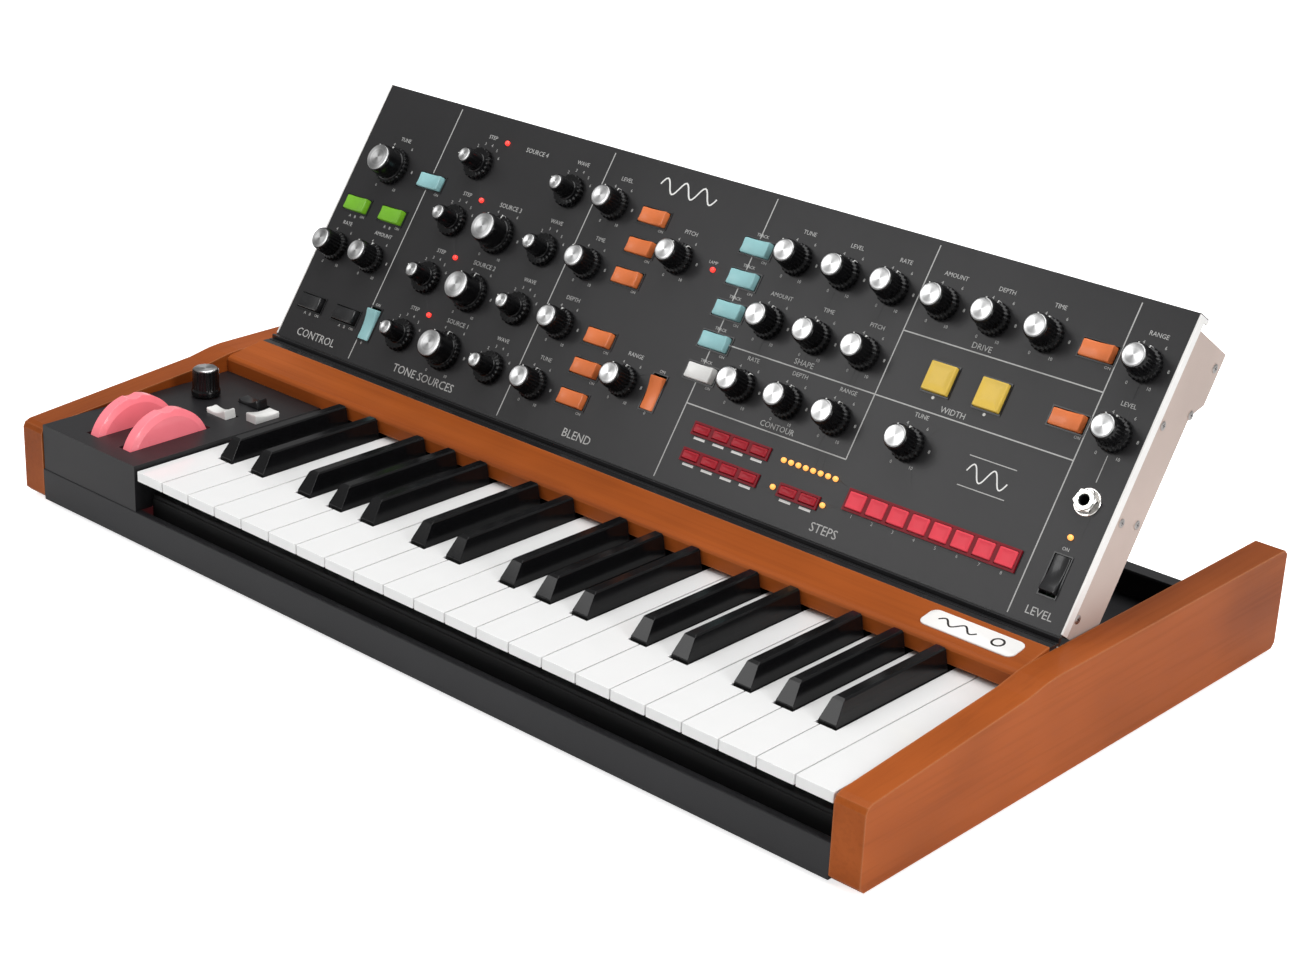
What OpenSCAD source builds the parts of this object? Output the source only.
// Keyboard synthesizer with wooden cheeks and a tilting control panel.
// The object rests on its feet: +X to the player's right, +Y away from the player, +Z up.
// The origin is on the ground, under the middle of the case.

/* [Keyboard] */
// Width from one white key to the next
white_pitch = 23.5; // [22.5:0.1:23.5]
// Gap between neighbouring white keys
key_gap = 0.9; // [0.7:0.1:1.2]
// Length of a white key in front of the wooden rail
white_length = 140.5; // [136:0.5:140.5]
// Length of a black key
black_length = 90; // [88:1:96]
// Height of a black key above the white ones
black_rise = 12; // [10:0.5:12]

/* [Case] */
// Depth of the case from front to back
case_depth = 376; // [376:1:400]
// Height of the wooden cheeks behind the keys
cheek_height = 60; // [60:0.5:66]
// Thickness of the wooden cheeks
cheek_t = 18.5; // [15:0.5:22]
// Width of the deck at the left of the keys
deck_w = 89; // [89:1:96]
// Height of the rubber feet
foot_h = 3; // [2:0.5:8]
// Height of the tray's front lip
lip_h = 20; // [16:1:22]

/* [Panel] */
// Tilt of the raised control panel from level
panel_tilt = 56; // [54:1:57]
// Height of the panel's front plate along its slope
panel_len = 179.5; // [178:0.5:182]
// Depth of the box behind the front plate
panel_depth = 32; // [30:1:33]
// Height of the control knobs above the plate
knob_h = 17.3; // [15:0.1:19]

/* [Hidden] */
$fn = 48;
white_names = ["c", "d", "e", "f", "g", "a", "b"];
black_names = ["cs", "ds", "fs", "gs", "as"];
white_total = 22;
black_total = 15;
first_octave = 3;

function white_name(i) = str("key_", white_names[i % 7], first_octave + floor(i / 7));
function black_name(i) = str("key_", black_names[i % 5], first_octave + floor(i / 5));

// Fits
run_gap = 0.05;
part_gap = 0.5;
side_gap = 1;

// Case frame: x = 0 at the first key's left edge, y = 0 at the front, z = 0 under the tray
keys_w = white_pitch * white_total;
in_left = -deck_w - 2 * side_gap;
in_right = keys_w + side_gap;
in_w = in_right - in_left;
mid_x = (in_left + in_right) / 2;
wall = 2.5;
eps = 0.5;

// Keys
octave_w = 7 * white_pitch;
white_top = 45.5;
white_bottom = 39.5;
white_front = 1.5;
skin = 1.8;
black_slot = 13;
black_foot_w = 11.4;
black_top_w = 7.2;
black_front = white_length - black_length;
black_slope = 7;
tail_w = 8;
tail_end = 176.5;
key_axis_y = 172;
key_axis_z = 30;
key_rod_r = 2;
boss_r = 5;
rail_y = 142;
rail_z = 48;
rail_end = 171;

// Panel frame: x along the plate from its left edge, y up the plate, z out of its face
panel_w = in_w - 2 * side_gap;
panel_low_y = 182;
panel_low_z = 64;
plate_t = 2;
sheet = 1.5;
hinge_v = -6;
hinge_n = -5.5;
hinge_r = 2.5;
lug_r = 4.8;
hinge_y = panel_low_y + hinge_v * cos(panel_tilt) - hinge_n * sin(panel_tilt);
hinge_z = panel_low_z + hinge_v * sin(panel_tilt) + hinge_n * cos(panel_tilt);
hinge_socket = 8;
lug_w = 10;
lug_x = [6, 300, panel_w - 6 - lug_w];
bump_n = -41.5;
box_top_v = 172;
board_n = -10;
board_t = 1.6;

// Knobs as [skirt radius, barrel radius, cap radius]
small_knob = [10.5, 5.2, 4.2];
large_knob = [12.5, 9, 8.4];
medium_knob = [9.8, 7.2, 6.5];
skirt_h = 4;
cap_h = 0.8;

// Control layout: four rows of knobs, with half-way rows for the switches
row_0 = 27.2;
row_pitch = 39.4;
function row(i) = row_0 + i * row_pitch;
osc_x = [102.5, 142, 181.5];
mixer_x = 219;
filter_x = [360, 394, 428];
effect_x = [462, 495.5, 529.5];
output_x = 589.5;
small_knobs = concat([for (r = [0 : 3]) [osc_x[0], row(r)]], [for (r = [0 : 3]) [osc_x[2], row(r)]]);
large_knobs = concat([[34, row(2.55)]], [for (r = [0 : 2]) [osc_x[1], row(r)]]);
medium_knobs = concat(
    [[17, row(1)], [51, row(1)]],
    [for (r = [0 : 3]) [mixer_x, row(r)]],
    [[281, row(2.5)], [281, row(0.5)]],
    [for (x = filter_x, r = [1 : 3]) [x, row(r)]],
    [for (x = effect_x) [x, row(3)]],
    [[478, row(1)], [output_x, row(2)]]
);
volume_at = [output_x, row(3)];
mixer_rocker_x = 250.5;
mixer_rocker_rows = [0, 0.5, 1, 2, 2.5, 3];
filter_rocker_x = 330;
filter_rocker_rows = [1, 1.5, 2, 2.5, 3];
level_rockers = [[18, row(1.78)], [51, row(1.78)], [18, row(0)], [51, row(0)],
                 [70, row(2.5)], [561, row(2)], [561, row(3)]];
upright_rockers = [[73, row(0)], [304, row(0.5)]];
power_at = [590, 28];
phones_at = [590, 69];
rocker_l = 20.4;
rocker_w = 9.4;
rocker_lean = 8;
rocker_pivot = -4;
rocker_pin_r = 1.5;
rocker_pin_out = 1;
red_x = [for (i = [0 : 3]) 348 + 14 * i];
red_y = [36, 20];
pair_x = [419, 433];
step_x = [for (i = [0 : 7]) 462.5 + 14 * i];
step_y = 28;
yellow_x = [479.5, 513];
yellow_y = row(2);
press_travel = 1.5;
amber_x = [for (i = [0 : 7]) 407.5 + 5.2 * i];
leds = concat(
    [for (r = [0 : 3]) [117, row(r) + 18]],
    [for (x = amber_x) [x, 36]],
    [[307, row(2.5)], [408, 20], [443, 20], [output_x, 49]]
);
led_r = 1.4;
shaft_r = 3;
jack_r = 3.2;
jack_v = 157;
rear_jacks = [120, 150, 200];
dc_inlet_x = 560;
dc_r = 2.75;

// Deck controls
deck_top = 48.5;
wheel_x = [-57, -25.7];
wheel_y = 42;
wheel_z = 36;
wheel_r = 30.6;
wheel_half = 5;
wheel_rim_half = 3.4;
wheel_bevel = 4;
notch_r = 9;
wheel_post_x = 8;
wheel_post_half = 1.5;
wheel_slot_half = sqrt(pow(wheel_r, 2) - pow(deck_top - wall - wheel_z, 2)) + 0.8;
axle_r = 3;
lfo_at = [-65, 104.3];
lfo_r = 9;
lfo_h = 17;
deck_rocker_x = -33;
deck_rocker_y = [91, 116];
deck_rocker_half = 9;
deck_rocker_w = 8.4;
deck_rocker_lean = 9;
deck_rocker_depth = 4.5;
deck_slot_l = 20.4;
deck_slot_w = 9.6;
deck_housing_t = 1;
side_rocker_at = [-10.5, 104.3];

// Prop stand
prop_y = 215;
prop_z = 9;
prop_len = 143.9;
prop_angle = 65;
prop_r = 3;
prop_half_w = 120;
prop_pin_w = 14;

// ---------- helpers ----------

// Moves the case frame to the object's own origin
module place() {
    translate([-mid_x, -case_depth / 2, foot_h]) children();
}

// Panel frame, raised, inside the case frame
module on_panel() {
    translate([in_left + side_gap, panel_low_y, panel_low_z])
        rotate([panel_tilt, 0, 0]) children();
}

// Extrudes a (y, z) outline along +X
module along_x(length) {
    rotate([90, 0, 90]) linear_extrude(length) children();
}

// Cylinder along +X from its left end
module rod_x(r, length) {
    rotate([0, 90, 0]) cylinder(r = r, h = length);
}

// ---------- case ----------

module base_tray() {
    feet_back = case_depth - 4;
    color([0.16, 0.16, 0.17]) place() {
        difference() {
            union() {
                translate([in_left, 0, 0]) cube([in_w, feet_back, wall]);
                translate([in_left, 0, 0]) cube([in_w, 3, lip_h]);
                translate([in_left, 0, lip_h - wall]) cube([in_w, 5, wall]);
                translate([in_left, 178.5, 0]) cube([in_w, wall, 48]);
                translate([in_left, feet_back - 2, 0]) cube([in_w, 2, 22]);
                translate([in_left, feet_back - 10, 20]) cube([in_w, 10, 2]);
                hinge_brackets();
                for (side = [-1, 1]) prop_bracket(side);
            }
            translate([in_left - eps, hinge_y, hinge_z]) rod_x(hinge_r + run_gap, in_w + 2 * eps);
        }
    }
    color([0.05, 0.05, 0.05]) place()
        translate([in_left, rail_end, 57.5]) cube([in_w, 6, 3]);
}

// Ears that carry the panel's hinge rod, one beside each lug of the panel
module hinge_brackets() {
    for (x = [18, 288, 312, panel_w - 28]) {
        translate([in_left + side_gap + x, hinge_y, hinge_z]) rod_x(lug_r, lug_w);
        translate([in_left + side_gap + x, 178.5, 40]) cube([lug_w, 5.5, hinge_z - 40]);
    }
}

// Block on the tray's floor with a bore for one foot of the prop stand
module prop_bracket(side) {
    x = mid_x + side * (prop_half_w + 14) - 4;
    difference() {
        translate([x, prop_y - 6, wall]) cube([8, 12, 12]);
        translate([x - eps, prop_y, prop_z]) rod_x(prop_r + run_gap, 8 + 2 * eps);
    }
}

module cheek_outline() {
    h = cheek_height;
    polygon([[3, 0], [case_depth - 3, 0], [case_depth, 3], [case_depth, h - 3],
             [case_depth - 3, h], [152, h], [143, h - 0.7], [134, h - 2.3], [127, h - 3.6],
             [5, 46.4], [1.5, 45], [0, 42], [0, 3]]);
}

module cheek(x, socket_x) {
    color([0.55, 0.26, 0.13]) place() difference() {
        translate([x, 0, 0]) along_x(cheek_t) cheek_outline();
        translate([socket_x, hinge_y, hinge_z]) rod_x(hinge_r, hinge_socket);
    }
}

module left_cheek() {
    cheek(in_left - cheek_t, in_left - hinge_socket);
}

module right_cheek() {
    cheek(in_right, in_right);
}

module wood_rail() {
    color([0.6, 0.29, 0.14]) place() translate([in_left, 0, 0]) along_x(in_w)
        polygon([[rail_y, rail_z], [rail_y, 56], [rail_y + 0.8, 57.5], [rail_y + 3, 58.5],
                 [rail_end, 62.5], [rail_end, rail_z]]);
}

module rubber_feet() {
    color([0.1, 0.1, 0.1]) place()
        for (x = [-60, mid_x, keys_w - 30], y = [28, case_depth - 40])
            translate([x, y, -foot_h]) cylinder(r = 9, h = foot_h);
}

module pivot_rods() {
    color([0.75, 0.75, 0.77]) place() {
        translate([in_left - hinge_socket, hinge_y, hinge_z])
            rod_x(hinge_r, in_w + 2 * hinge_socket);
        translate([-5, key_axis_y, key_axis_z]) rod_x(key_rod_r, keys_w + 4);
    }
}

// ---------- keys ----------

// Centres of the black keys in one octave: two even gaps, then three
lower_gap = (3 * white_pitch - 2 * black_slot) / 3;
upper_gap = (4 * white_pitch - 3 * black_slot) / 4;
black_centres = [
    lower_gap + black_slot / 2,
    2 * lower_gap + 1.5 * black_slot,
    3 * white_pitch + upper_gap + black_slot / 2,
    3 * white_pitch + 2 * upper_gap + 1.5 * black_slot,
    3 * white_pitch + 3 * upper_gap + 2.5 * black_slot
];
function black_x(i) = floor(i / 5) * octave_w + black_centres[i % 5];

// Slot edges that bound the rear part of each white key of an octave
rear_left = [0, black_centres[0], black_centres[1], 0, black_centres[2], black_centres[3],
             black_centres[4]];
rear_right = [black_centres[0], black_centres[1], 0, black_centres[2], black_centres[3],
              black_centres[4], 0];
function rear_min(i) = rear_left[i % 7] > 0
    ? floor(i / 7) * octave_w + rear_left[i % 7] + black_slot / 2
    : i * white_pitch + key_gap / 2;
function rear_max(i) = rear_right[i % 7] > 0 && i < white_total - 1
    ? floor(i / 7) * octave_w + rear_right[i % 7] - black_slot / 2
    : (i + 1) * white_pitch - key_gap / 2;

// Arm that joins a key to the pivot rod, with its bore
module key_tail(x) {
    difference() {
        union() {
            translate([x - tail_w / 2, 143, 36]) cube([tail_w, tail_end - 143, 8]);
            translate([x - tail_w / 2, key_axis_y - boss_r, key_axis_z])
                cube([tail_w, tail_end - key_axis_y + boss_r, 7]);
            translate([x - tail_w / 2, key_axis_y, key_axis_z]) rod_x(boss_r, tail_w);
        }
        translate([x - tail_w / 2 - eps, key_axis_y, key_axis_z])
            rod_x(key_rod_r + run_gap, tail_w + 2 * eps);
    }
}

// Hollow block, open below
module key_shell(x0, x1, y0, y1, z0, z1) {
    difference() {
        translate([x0, y0, z0]) cube([x1 - x0, y1 - y0, z1 - z0]);
        translate([x0 + skin, y0 + skin, z0 - eps])
            cube([x1 - x0 - 2 * skin, y1 - y0 - 2 * skin, z1 - z0 - skin + eps]);
    }
}

module white_key(i) {
    x0 = i * white_pitch + key_gap / 2;
    x1 = (i + 1) * white_pitch - key_gap / 2;
    r0 = rear_min(i);
    r1 = rear_max(i);
    shoulder = black_front - 1.5;
    color([0.96, 0.96, 0.95]) place() {
        key_shell(x0, x1, white_front, shoulder, white_bottom, white_top);
        key_shell(r0, r1, shoulder - skin, 150, white_bottom, white_top);
        key_tail((r0 + r1) / 2);
    }
}

module black_key(i) {
    x = black_x(i);
    top = white_top + black_rise;
    low = white_bottom + 1.5;
    rear = white_length;
    color([0.05, 0.05, 0.055]) place() {
        intersection() {
            translate([x - black_foot_w / 2, 0, 0]) along_x(black_foot_w)
                polygon([[black_front, low], [black_front, white_top + 1.5],
                         [black_front + black_slope, top - 1], [black_front + black_slope + 2, top],
                         [rear, top], [rear, low]]);
            translate([x, rear, 0]) rotate([90, 0, 0]) linear_extrude(rear)
                polygon([[-black_foot_w / 2, low], [black_foot_w / 2, low],
                         [black_foot_w / 2, white_top], [black_top_w / 2, top - 0.8],
                         [black_top_w / 2 - 1, top], [1 - black_top_w / 2, top],
                         [-black_top_w / 2, top - 0.8], [-black_foot_w / 2, white_top]]);
        }
        translate([x - tail_w / 2, rear - 1, low]) cube([tail_w, 6, 4]);
        key_tail(x);
    }
}

// Steel chassis with ears for the pivot rod, and a felt strip that stops the keys
module key_frame() {
    z = 12;
    color([0.3, 0.3, 0.32]) place() difference() {
        union() {
            translate([0, 12, z]) cube([keys_w - 1, 158, 2]);
            translate([0, 12, z]) cube([keys_w - 1, 16, 14]);
            translate([-3, 160, z]) cube([keys_w + 2, 17, 2]);
            for (i = [0, 3, 7, 10, 14, 17, 21, 22]) frame_ear(i, z);
            for (x = [20, mid_x, keys_w - 30]) translate([x, 80, wall]) cube([14, 40, z - wall]);
        }
        translate([-4, key_axis_y, key_axis_z]) rod_x(key_rod_r, keys_w + 6);
    }
    color([0.6, 0.1, 0.1]) place() translate([0, 13, z + 14]) cube([keys_w - 4, 13, 2]);
}

// Ear between two neighbouring white keys
module frame_ear(i, z) {
    ear_w = 3;
    x = i == 0 ? -3 : i == white_total ? keys_w - 4 : i * white_pitch - ear_w / 2;
    translate([x, 167, z]) cube([ear_w, 10, key_axis_z + 4 - z]);
}

// Circuit board with one rubber contact dome under each key
module contact_board() {
    dome_xs = concat([for (i = [0 : white_total - 1]) (rear_min(i) + rear_max(i)) / 2],
                     [for (i = [0 : black_total - 1]) black_x(i)]);
    color([0.1, 0.35, 0.2]) place() translate([4, 62, 15.5]) cube([keys_w - 10, 55, 1.6]);
    color([0.2, 0.2, 0.2]) place()
        for (i = [0 : len(dome_xs) - 1])
            translate([dome_xs[i], i < white_total ? 78 : 98, 17.1]) cylinder(r1 = 4, r2 = 2.5, h = 9);
}

// ---------- left-hand deck ----------

module deck_slots() {
    for (x = wheel_x) translate([x - wheel_half - 0.8, wheel_y - wheel_slot_half, deck_top - 6])
        cube([2 * wheel_half + 1.6, 2 * wheel_slot_half, 12]);
    translate([lfo_at[0], lfo_at[1], deck_top - 6]) cylinder(r = shaft_r + 0.5, h = 12);
    for (y = deck_rocker_y)
        translate([deck_rocker_x - deck_slot_l / 2, y - deck_slot_w / 2, deck_top - 6])
            cube([deck_slot_l, deck_slot_w, 12]);
}

// Box under a slot of the deck, with bores for the pin of its rocker
module rocker_housing(y) {
    t = deck_housing_t;
    translate([deck_rocker_x, y, deck_top]) difference() {
        translate([-deck_slot_l / 2 - t, -deck_slot_w / 2 - t, -12])
            cube([deck_slot_l + 2 * t, deck_slot_w + 2 * t, 12 - wall]);
        translate([-deck_slot_l / 2, -deck_slot_w / 2, t - 12]) cube([deck_slot_l, deck_slot_w, 12]);
        translate([0, 6, -deck_rocker_depth]) rotate([90, 0, 0])
            cylinder(r = rocker_pin_r + run_gap, h = 12);
    }
}

module control_deck() {
    x0 = in_left + side_gap;
    color([0.3, 0.3, 0.3]) place() difference() {
        translate([x0, 0.5, lip_h]) cube([deck_w, rail_y - 1, deck_top - lip_h]);
        translate([x0 + wall, 0.5 + wall, lip_h - eps])
            cube([deck_w - 2 * wall, rail_y - 1 - 2 * wall, deck_top - lip_h - wall + eps]);
        deck_slots();
    }
    color([0.7, 0.7, 0.7]) place() {
        for (x = wheel_x)
            translate([x - wheel_post_x - 1, wheel_y, wheel_z]) rod_x(axle_r, 2 * wheel_post_x + 2);
    }
    color([0.2, 0.2, 0.2]) place() {
        for (x = wheel_x, side = [-1, 1]) difference() {
            translate([x + side * wheel_post_x - wheel_post_half, wheel_y - 6, wheel_z - 6])
                cube([2 * wheel_post_half, 12, deck_top - 1 - (wheel_z - 6)]);
            translate([x - 12, wheel_y, wheel_z]) rod_x(axle_r, 24);
        }
        for (y = deck_rocker_y) rocker_housing(y);
    }
    color([0.9, 0.9, 0.88]) place() translate([side_rocker_at[0], side_rocker_at[1], deck_top])
        rotate([90, 0, 90]) translate([0, 0, -deck_rocker_w / 2]) linear_extrude(deck_rocker_w)
            polygon([[-deck_rocker_half, 0], [-deck_rocker_half, 5], [0, 2.4],
                     [deck_rocker_half, 3], [deck_rocker_half, 0]]);
}

// Bevelled disc bored for its axle, with a shallow finger notch at the top of its rim
module control_wheel(x) {
    bevel_r = wheel_r - wheel_bevel;
    color([0.9, 0.35, 0.42]) place() translate([x, wheel_y, wheel_z]) difference() {
        rotate([0, 90, 0]) rotate_extrude($fn = 96)
            polygon([[0, -wheel_half], [bevel_r, -wheel_half], [wheel_r, -wheel_rim_half],
                     [wheel_r, wheel_rim_half], [bevel_r, wheel_half], [0, wheel_half]]);
        translate([-wheel_half - eps, 0, 0]) rod_x(axle_r + run_gap, 2 * wheel_half + 2 * eps);
        translate([-wheel_half - eps, 0, wheel_r + notch_r - 1.4])
            rod_x(notch_r, 2 * wheel_half + 2 * eps);
    }
}

module pitch_wheel() {
    control_wheel(wheel_x[0]);
}

module mod_wheel() {
    control_wheel(wheel_x[1]);
}

module lfo_knob() {
    color([0.08, 0.08, 0.08]) place() translate([lfo_at[0], lfo_at[1], deck_top + part_gap]) {
        cylinder(r = lfo_r, h = 4);
        cylinder(r1 = lfo_r - 0.4, r2 = lfo_r - 0.8, h = lfo_h);
        translate([0, 0, -8]) cylinder(r = shaft_r, h = 9);
    }
    color([0.85, 0.85, 0.85]) place()
        translate([lfo_at[0], lfo_at[1], deck_top + part_gap + lfo_h]) cylinder(r = lfo_r - 1.6, h = cap_h);
}

// Two rockers that turn about one line along Y
module deck_rockers() {
    colors = [[0.9, 0.9, 0.88], [0.06, 0.06, 0.06]];
    pin_l = deck_slot_w + deck_housing_t;
    for (i = [0, 1]) color(colors[i]) place()
        translate([deck_rocker_x, deck_rocker_y[i], deck_top - deck_rocker_depth])
            rotate([90, -deck_rocker_lean, 0]) {
                translate([0, 0, -deck_rocker_w / 2]) linear_extrude(deck_rocker_w)
                    polygon([[-deck_rocker_half, 2.5], [-deck_rocker_half, 9], [0, 6.5],
                             [deck_rocker_half, 9], [deck_rocker_half, 2.5], [3, -3.5], [-3, -3.5]]);
                translate([0, 0, -pin_l / 2]) cylinder(r = rocker_pin_r, h = pin_l);
            }
}

// ---------- control panel ----------

module knob_holes() {
    for (at = concat(small_knobs, large_knobs, medium_knobs, [volume_at]))
        translate([at[0], at[1], -plate_t - 1]) cylinder(r = shaft_r + 0.4, h = plate_t + 2);
}

// Through hole of a rocker, long side along the panel
module rocker_hole(at, turned) {
    translate([at[0], at[1], 0]) rotate([0, 0, turned])
        translate([-rocker_l / 2 - 0.9, -rocker_w / 2 - 0.4, -plate_t - 1])
            cube([rocker_l + 1.8, rocker_w + 0.8, plate_t + 2]);
}

module button_hole(x, y, w, h) {
    translate([x - w / 2 - 0.4, y - h / 2 - 0.4, -plate_t - 1])
        cube([w + 0.8, h + 0.8, plate_t + 2]);
}

module front_plate() {
    color([0.2, 0.2, 0.21]) place() on_panel() difference() {
        union() {
            translate([0, 0, -plate_t]) cube([panel_w, panel_len, plate_t]);
            translate([0, panel_len - 2, -9]) cube([panel_w, 2, 9]);
        }
        knob_holes();
        for (r = mixer_rocker_rows) rocker_hole([mixer_rocker_x, row(r)], 0);
        for (r = filter_rocker_rows) rocker_hole([filter_rocker_x, row(r)], 0);
        for (at = level_rockers) rocker_hole(at, 0);
        for (at = upright_rockers) rocker_hole(at, 90);
        rocker_hole(power_at, 90);
        for (x = red_x, y = red_y) button_hole(x, y, 11, 5);
        for (x = pair_x) button_hole(x, red_y[1], 11, 5);
        for (x = step_x) button_hole(x, step_y, 11, 9.5);
        for (x = yellow_x) button_hole(x, yellow_y, 16.5, 16.5);
        for (at = leds) translate([at[0], at[1], -plate_t - 1])
            cylinder(r = led_r + 0.1, h = plate_t + 2);
        translate([phones_at[0], phones_at[1], -plate_t - 1])
            cylinder(r = 5.6, h = plate_t + 2);
    }
}

// Outline of the box behind the plate, as (height up the plate, distance out of its face)
function box_outline(inset) = [
    [1 + inset, -plate_t], [1 + inset, -12 - 0.3 * inset], [14 + 0.7 * inset, inset - panel_depth],
    [133 + 0.4 * inset, inset - panel_depth], [143 + 0.4 * inset, bump_n + inset],
    [box_top_v - inset, bump_n + inset], [box_top_v - inset, -plate_t]
];

module panel_case() {
    run = panel_w - 2 * sheet;
    color([0.62, 0.6, 0.58]) place() on_panel() difference() {
        union() {
            translate([sheet, 0, 0]) along_x(run) difference() {
                polygon(box_outline(0));
                polygon(concat([[1 + sheet, 0]], box_outline(sheet), [[box_top_v - sheet, 0]]));
            }
            for (x = lug_x) {
                translate([x, hinge_v, hinge_n]) rod_x(lug_r, lug_w);
                translate([x, hinge_v, hinge_n - 3]) cube([lug_w, 1.5 - hinge_v, 6]);
            }
        }
        for (x = lug_x) translate([x - 1, hinge_v, hinge_n]) rod_x(hinge_r + run_gap, lug_w + 2);
        for (x = rear_jacks) translate([x, jack_v, bump_n - 1]) cylinder(r = 5.6, h = sheet + 2);
        translate([dc_inlet_x, jack_v, bump_n - 1]) cylinder(r = 5.1, h = sheet + 2);
    }
}

// Bare metal ends of the box, each with its screws
module end_plates() {
    screws = [[12, -8], [70, -26], [66, -10], [134, -32], [162, -36], [120, -9]];
    for (side = [0, 1]) color([0.85, 0.79, 0.76]) place() on_panel()
        translate([side * (panel_w - sheet), 0, 0]) {
            along_x(sheet) polygon(box_outline(0));
            for (s = screws) translate([side == 0 ? -0.4 : sheet, s[0], s[1]]) rod_x(2.6, 0.4);
        }
}

// Potentiometer: body on the board and shaft through the plate
module pot(at, z_top) {
    translate([at[0] - 5, at[1] - 5, board_n]) cube([10, 10, 6.5]);
    translate([at[0], at[1], board_n + 6.5]) cylinder(r = shaft_r, h = z_top - board_n - 6.5);
}

// Jack socket with an open bore; its mouth is at z = 0 and its body runs down
module jack(bush_r, bore_r, body, out) {
    difference() {
        union() {
            translate([0, 0, -out]) cylinder(r = bush_r, h = out);
            translate([-body / 2, -body / 2, -out - 18]) cube([body, body, 18]);
        }
        translate([0, 0, -16]) cylinder(r = bore_r, h = 17);
    }
}

// Board with everything soldered to it
module panel_board() {
    color([0.1, 0.35, 0.2]) place() on_panel() difference() {
        translate([8, 6, board_n - board_t]) cube([panel_w - 16, 156, board_t]);
        translate([phones_at[0] - 8, phones_at[1] - 8, board_n - 5]) cube([16, 16, 10]);
    }
    color([0.65, 0.65, 0.67]) place() on_panel() {
        for (at = concat(small_knobs, large_knobs, medium_knobs)) pot(at, 9);
        pot(volume_at, 9);
    }
    color([0.95, 0.6, 0.3]) place() on_panel()
        for (at = leds) translate([at[0], at[1], board_n]) cylinder(r = led_r, h = 1.2 - board_n);
    color([0.75, 0.75, 0.77]) place() on_panel() {
        translate([phones_at[0], phones_at[1], 4.5]) jack(5.5, jack_r, 14, 6.5 + part_gap);
        for (x = rear_jacks) translate([x, jack_v, bump_n - 3]) rotate([180, 0, 0])
            jack(5.5, jack_r, 14, 5);
        translate([dc_inlet_x, jack_v, bump_n - 1]) rotate([180, 0, 0]) jack(5, dc_r, 12, 3);
    }
}

// Knob: skirt, tapered barrel and metal cap, with a socket for its shaft
module knob(size) {
    color([0.06, 0.06, 0.06]) difference() {
        translate([0, 0, part_gap]) union() {
            cylinder(r = size[0], h = skirt_h);
            cylinder(r1 = size[1] + 0.8, r2 = size[1], h = knob_h - part_gap - cap_h);
        }
        translate([0, 0, -1]) cylinder(r = shaft_r + run_gap, h = 10.2);
    }
    color([0.86, 0.86, 0.87]) translate([0, 0, knob_h - cap_h]) cylinder(r = size[2], h = cap_h);
}

// Rocker lying along the panel, leaning about a pin under the plate
module rocker(lean) {
    half = rocker_l / 2;
    rotate([90, 0, 0]) translate([0, rocker_pivot, -rocker_w / 2]) {
        rotate([0, 0, lean]) linear_extrude(rocker_w)
            polygon([[-half, 2], [-half + 0.2, 6.8], [0, 5.2], [half - 0.2, 6.8], [half, 2],
                     [5, -0.5], [3, -4], [-3, -4], [-5, -0.5]]);
        translate([0, 0, -rocker_pin_out])
            cylinder(r = rocker_pin_r, h = rocker_w + 2 * rocker_pin_out);
    }
}

module panel_controls() {
    place() on_panel() {
        for (at = small_knobs) translate([at[0], at[1], 0]) knob(small_knob);
        for (at = large_knobs) translate([at[0], at[1], 0]) knob(large_knob);
        for (at = medium_knobs) translate([at[0], at[1], 0]) knob(medium_knob);
        colors = [[0.5, 0.75, 0.2], [0.5, 0.75, 0.2], [0.06, 0.06, 0.06], [0.06, 0.06, 0.06],
                  [0.55, 0.82, 0.84], [0.92, 0.5, 0.25], [0.92, 0.5, 0.25]];
        for (i = [0 : len(level_rockers) - 1]) color(colors[i])
            translate([level_rockers[i][0], level_rockers[i][1], 0]) rocker(rocker_lean);
        for (i = [0, 1]) color([colors[4], colors[5]][i])
            translate([upright_rockers[i][0], upright_rockers[i][1], 0])
                rotate([0, 0, 90]) rocker(rocker_lean);
        color([0.05, 0.05, 0.05]) translate([power_at[0], power_at[1], 0])
            rotate([0, 0, 90]) rocker(-rocker_lean);
    }
}

module volume_knob() {
    place() on_panel() translate([volume_at[0], volume_at[1], 0]) knob(medium_knob);
}

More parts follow.
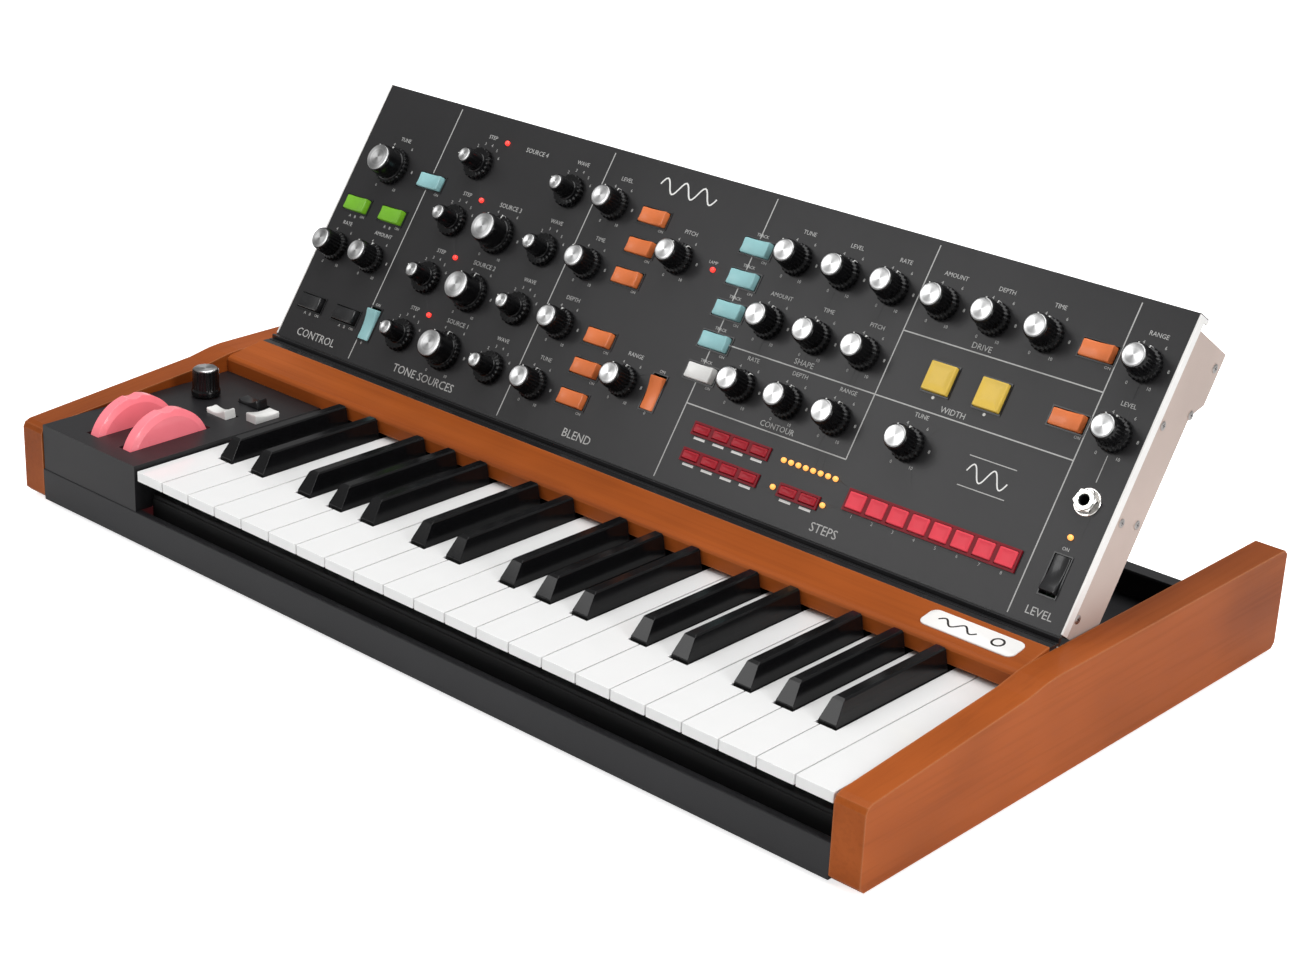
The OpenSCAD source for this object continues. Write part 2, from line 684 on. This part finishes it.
module mixer_rockers() {
    color([0.92, 0.5, 0.25]) place() on_panel()
        for (r = mixer_rocker_rows) translate([mixer_rocker_x, row(r), 0]) rocker(rocker_lean);
}

module filter_rockers() {
    place() on_panel() for (r = filter_rocker_rows)
        color(r == 1 ? [0.93, 0.93, 0.92] : [0.6, 0.85, 0.87])
            translate([filter_rocker_x, row(r), 0]) rocker(rocker_lean);
}

// Push button: cap above the plate and a shank with a flange behind it
module push_button(x, y, w, h, rise) {
    translate([x - w / 2, y - h / 2, -7]) cube([w, h, 7 + rise]);
}

module push_buttons() {
    color([0.8, 0.12, 0.2]) place() on_panel() {
        for (x = red_x, y = red_y) push_button(x, y, 11, 5, 1.9);
        for (x = pair_x) push_button(x, red_y[1], 11, 5, 1.9);
    }
    color([0.92, 0.35, 0.42]) place() on_panel()
        for (x = step_x) push_button(x, step_y, 11, 9.5, 2.2);
    color([0.93, 0.78, 0.3]) place() on_panel()
        for (x = yellow_x) push_button(x, yellow_y, 16.5, 16.5, 3);
}

// Wire bail between the tray's brackets and the panel's back
module prop_stand() {
    color([0.12, 0.12, 0.12]) place()
        translate([mid_x, prop_y, prop_z]) rotate([prop_angle, 0, 0]) {
            for (side = [-1, 1]) {
                translate([side * prop_half_w, 0, 0]) rotate([-90, 0, 0])
                    cylinder(r = prop_r, h = prop_len);
                translate([side * prop_half_w, 0, 0]) sphere(r = prop_r);
                translate([side * prop_half_w, prop_len, 0]) sphere(r = prop_r);
                translate([side > 0 ? prop_half_w : -prop_half_w - prop_pin_w - 6, 0, 0])
                    rod_x(prop_r, prop_pin_w + 6);
            }
            translate([-prop_half_w, prop_len, 0]) rod_x(prop_r, 2 * prop_half_w);
        }
}

base_tray();
left_cheek();
right_cheek();
wood_rail();
control_deck();
key_frame();
pivot_rods();
contact_board();
rubber_feet();
pitch_wheel();
mod_wheel();
lfo_knob();
deck_rockers();
front_plate();
panel_case();
end_plates();
panel_board();
panel_controls();
volume_knob();
mixer_rockers();
filter_rockers();
push_buttons();
prop_stand();
for (i = [0 : white_total - 1]) white_key(i);
for (i = [0 : black_total - 1]) black_key(i);
